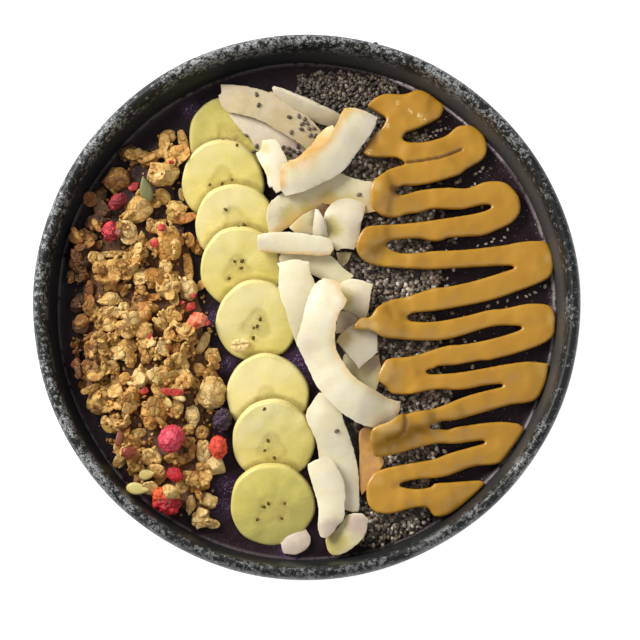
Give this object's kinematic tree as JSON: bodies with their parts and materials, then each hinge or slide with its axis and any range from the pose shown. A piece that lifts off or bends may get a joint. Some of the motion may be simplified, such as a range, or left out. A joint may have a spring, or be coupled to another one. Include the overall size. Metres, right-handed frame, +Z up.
{
  "type": "acai bowl",
  "caption": "Round dark stoneware bowl of acai topped with banana slices, granola with dried fruit, coconut chips, chia seeds and a peanut butter drizzle.",
  "frame": {"origin": "centre of the bowl's foot, on the surface it stands on", "axes": "+Z up; +X towards the peanut butter, -X towards the granola; -Y the near side, where the last banana slice lies"},
  "size_m": [0.192, 0.192, 0.0639],
  "materials": {
    "dark_stoneware": "glossy speckled glaze",
    "acai": "wet, smooth, faintly icy",
    "banana": "moist cut fruit",
    "granola": "rough, baked",
    "chia": "fine dry seeds",
    "coconut": "moist, smooth",
    "peanut_butter": "smooth, half glossy",
    "raspberry": "dried, powdery",
    "goji_berry": "dried, wrinkled",
    "cherry_piece": "dried",
    "strawberry_chunk": "moist",
    "papaya_piece": "dried",
    "cranberry": "dried",
    "red_berry": "dried",
    "acai_lump": "frozen, moist"
  },
  "bodies": {
    "root": {"acai": "acai", "acai_lump": "acai_lump", "banana_1": "banana", "banana_2": "banana", "banana_3": "banana", "banana_4": "banana", "banana_5": "banana", "banana_6": "banana", "banana_7": "banana", "banana_8": "banana", "bowl": "dark_stoneware", "cherry_piece": "cherry_piece", "chia_bed": "chia", "coconut_angular": "coconut", "coconut_arch": "coconut", "coconut_clear": "coconut", "coconut_crescent": "coconut", "coconut_grey_bit": "coconut", "coconut_leaf": "coconut", "coconut_level": "coconut", "coconut_long": "coconut", "coconut_near": "coconut", "coconut_round": "coconut", "coconut_short": "coconut", "coconut_sliver": "coconut", "coconut_small": "coconut", "coconut_square": "coconut", "coconut_tan": "coconut", "coconut_top_curve": "coconut", "coconut_top_pink": "coconut", "coconut_top_steep": "coconut", "coconut_top_wide": "coconut", "coconut_under_arch": "coconut", "coconut_under_slice": "coconut", "coconut_upright": "coconut", "coconut_yellow": "coconut", "cranberry": "cranberry", "goji_berry": "goji_berry", "granola_heap": "granola", "papaya_piece": "papaya_piece", "peanut_butter": "peanut_butter", "raspberry": "raspberry", "red_berry": "red_berry", "strawberry_chunk": "strawberry_chunk"}
  },
  "joints": []
}
